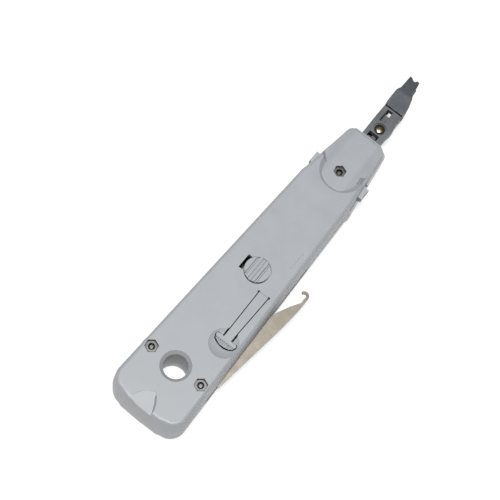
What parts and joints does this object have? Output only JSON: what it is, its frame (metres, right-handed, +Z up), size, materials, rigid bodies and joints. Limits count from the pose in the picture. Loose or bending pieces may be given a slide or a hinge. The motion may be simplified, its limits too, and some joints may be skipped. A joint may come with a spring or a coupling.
{
  "type": "punch down tool",
  "caption": "Slim two-shell hand tool for pressing wires into terminal blocks, with a sprung cutting head, a cutter lock, a fold-out hook and a prying leaf.",
  "frame": {"origin": "on the flat underside, on the centre line, at the middle of the handle (mount rest_face)", "axes": "+Y along the tool towards its working tip, +X towards the side the hook folds out of, +Z up from the underside to the face with the nuts"},
  "size_m": [0.0368, 0.1761, 0.0217],
  "materials": {
    "handle_abs": "satin moulded light grey ABS",
    "head_nylon": "moulded dark grey glass-filled nylon",
    "tool_steel": "blackened hardened tool steel",
    "spring_steel": "rolled and stamped spring steel, tempered to a straw tint",
    "zinc_steel": "zinc-plated steel",
    "brass": "turned and domed brass"
  },
  "bodies": {
    "handle": {"lower_cover": "handle_abs", "upper_cover": "handle_abs", "tail_screw_left": "zinc_steel", "tail_screw_right": "zinc_steel", "nose_screw": "zinc_steel", "tail_nut_left": "zinc_steel", "tail_nut_right": "zinc_steel", "nose_nut": "zinc_steel", "tool_pivot_sleeve": "zinc_steel", "tool_spacer": "zinc_steel", "tool_detent_spring": "spring_steel", "cutter_cam_plate": "zinc_steel", "spring_abutment": "zinc_steel"},
    "head": {"head_frame": "head_nylon", "insertion_blade": "tool_steel", "fixed_cutter": "tool_steel", "tip_rivet_left": "zinc_steel", "tip_rivet_right": "zinc_steel", "cutter_pivot_pin": "brass", "plunger_rod": "zinc_steel", "rod_cross_pin": "zinc_steel", "rod_clip": "zinc_steel", "return_spring": "spring_steel"},
    "cutter": {"moving_cutter": "tool_steel", "cutter_follower_pin": "zinc_steel"},
    "hook": {"hook_blade": "spring_steel"},
    "knife": {"knife_blade": "spring_steel"},
    "tongue": {"release_tongue": "handle_abs"},
    "ejector": {"eject_button": "handle_abs", "eject_carrier": "handle_abs"},
    "cutter_lock": {"cutter_lock_slider": "handle_abs"}
  },
  "joints": [
    {"name": "head_slide", "type": "slide", "parent": "handle", "child": "head", "axis": [0, -1, 0], "range_m": [0, 0.005], "stiffness_N_per_m": 800, "springref_m": -0.004, "deforming": ["return_spring"]},
    {"name": "cutter_swing", "type": "hinge", "parent": "head", "child": "cutter", "pos_m": [0.0006, 0.078, 0.0098], "axis": [0, 0, 1], "range_deg": [0, 5]},
    {"name": "hook_fold", "type": "hinge", "parent": "handle", "child": "hook", "pos_m": [0.01124, -0.0498, 0.0089], "axis": [0, 0, 1], "range_deg": [-81.8, 8.2]},
    {"name": "knife_fold", "type": "hinge", "parent": "handle", "child": "knife", "pos_m": [0.01124, -0.0498, 0.0067], "axis": [0, 0, 1], "range_deg": [-90, 0]},
    {"name": "tongue_press", "type": "hinge", "parent": "handle", "child": "tongue", "pos_m": [0.008, -0.0087, 0.0196], "axis": [1, 0, 0], "range_deg": [0, 4], "stiffness_Nm_per_rad": 0.01, "springref_deg": -1.15},
    {"name": "ejector_slide", "type": "slide", "parent": "handle", "child": "ejector", "axis": [1, 0, 0], "range_m": [-0.0024, 0]},
    {"name": "cutter_lock_slide", "type": "slide", "parent": "handle", "child": "cutter_lock", "axis": [0, 1, 0], "range_m": [-0.006, 0.0014]}
  ],
  "couplings": [
    {"joint": "cutter_swing", "follows": "head_slide", "rad_per_m": 17.453}
  ]
}
